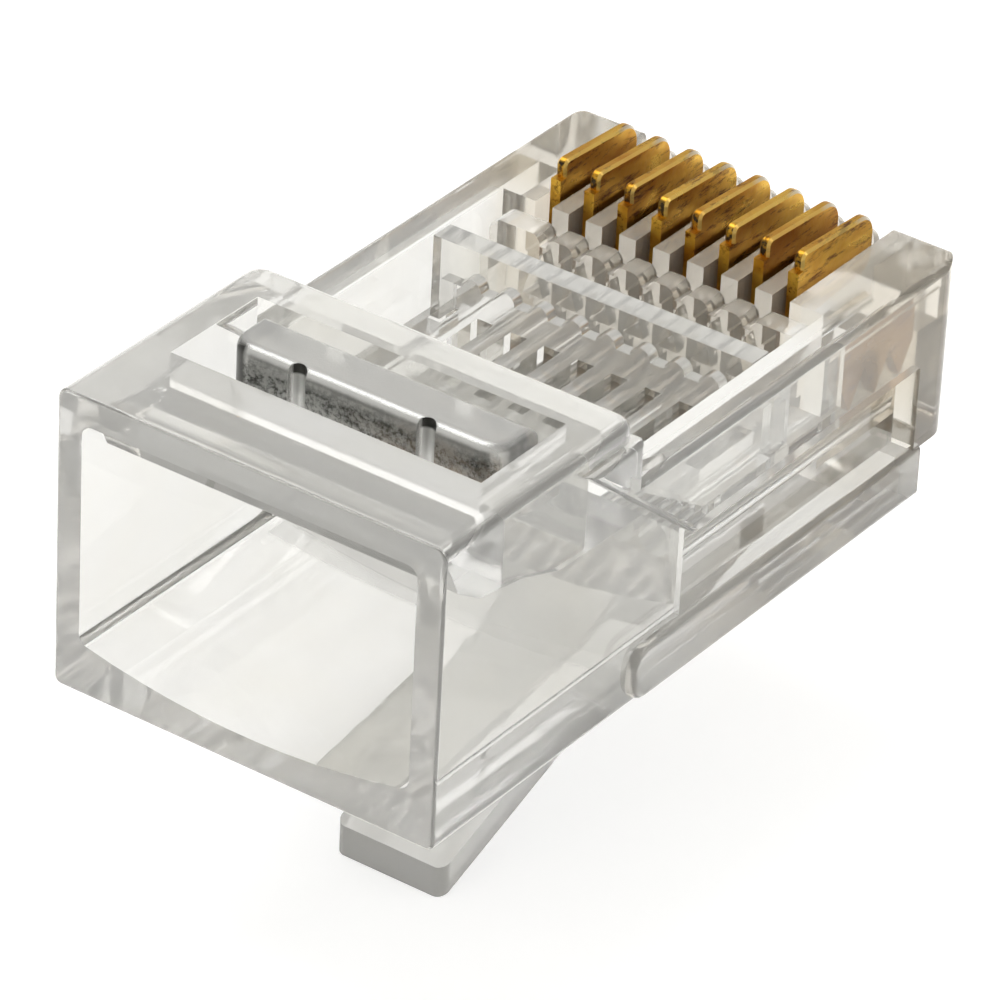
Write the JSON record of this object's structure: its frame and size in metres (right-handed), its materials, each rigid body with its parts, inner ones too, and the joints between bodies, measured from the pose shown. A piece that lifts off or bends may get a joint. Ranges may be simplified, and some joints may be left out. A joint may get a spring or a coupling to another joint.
{
  "type": "rj45 modular plug",
  "caption": "Clear eight-way modular plug, not yet crimped: hollow housing, spring latch, swinging cable anchor, conductor bar and raised gold blades.",
  "frame": {"origin": "middle of the plug's width, at the nose plane and the latch-side face of the body", "axes": "+X across the width, +Y the way the plug goes into a jack, +Z towards the contact side"},
  "size_m": [0.0116, 0.0215, 0.0148],
  "materials": {
    "clear_plastic": "clear moulded polycarbonate, polished",
    "frosted_plastic": "clear polycarbonate with an eroded, frosted rear face",
    "gold_contact": "gold plated phosphor bronze strip, brushed"
  },
  "bodies": {
    "housing": {"housing": "clear_plastic"},
    "latch": {"latch": "clear_plastic"},
    "cable_anchor": {"cable_anchor": "frosted_plastic"},
    "conductor_anchor": {"conductor_anchor": "clear_plastic"},
    "contact_1": {"contact_1": "gold_contact"},
    "contact_2": {"contact_2": "gold_contact"},
    "contact_3": {"contact_3": "gold_contact"},
    "contact_4": {"contact_4": "gold_contact"},
    "contact_5": {"contact_5": "gold_contact"},
    "contact_6": {"contact_6": "gold_contact"},
    "contact_7": {"contact_7": "gold_contact"},
    "contact_8": {"contact_8": "gold_contact"}
  },
  "joints": [
    {"name": "latch_press", "type": "hinge", "parent": "housing", "child": "latch", "pos_m": [0, -0.0023, -0.00075], "axis": [-1, 0, 0], "range_deg": [0, 17], "stiffness_Nm_per_rad": 0.3},
    {"name": "cable_anchor_swing", "type": "hinge", "parent": "housing", "child": "cable_anchor", "pos_m": [0, -0.01541, 0.00645], "axis": [1, 0, 0], "range_deg": [0, 35]},
    {"name": "conductor_anchor_press", "type": "slide", "parent": "housing", "child": "conductor_anchor", "axis": [0, 0, -1], "range_m": [0, 0.0011]},
    {"name": "contact_1_press", "type": "slide", "parent": "housing", "child": "contact_1", "axis": [0, 0, -1], "range_m": [0, 0.0014]},
    {"name": "contact_2_press", "type": "slide", "parent": "housing", "child": "contact_2", "axis": [0, 0, -1], "range_m": [0, 0.0014]},
    {"name": "contact_3_press", "type": "slide", "parent": "housing", "child": "contact_3", "axis": [0, 0, -1], "range_m": [0, 0.0014]},
    {"name": "contact_4_press", "type": "slide", "parent": "housing", "child": "contact_4", "axis": [0, 0, -1], "range_m": [0, 0.0014]},
    {"name": "contact_5_press", "type": "slide", "parent": "housing", "child": "contact_5", "axis": [0, 0, -1], "range_m": [0, 0.0014]},
    {"name": "contact_6_press", "type": "slide", "parent": "housing", "child": "contact_6", "axis": [0, 0, -1], "range_m": [0, 0.0014]},
    {"name": "contact_7_press", "type": "slide", "parent": "housing", "child": "contact_7", "axis": [0, 0, -1], "range_m": [0, 0.0014]},
    {"name": "contact_8_press", "type": "slide", "parent": "housing", "child": "contact_8", "axis": [0, 0, -1], "range_m": [0, 0.0014]}
  ]
}
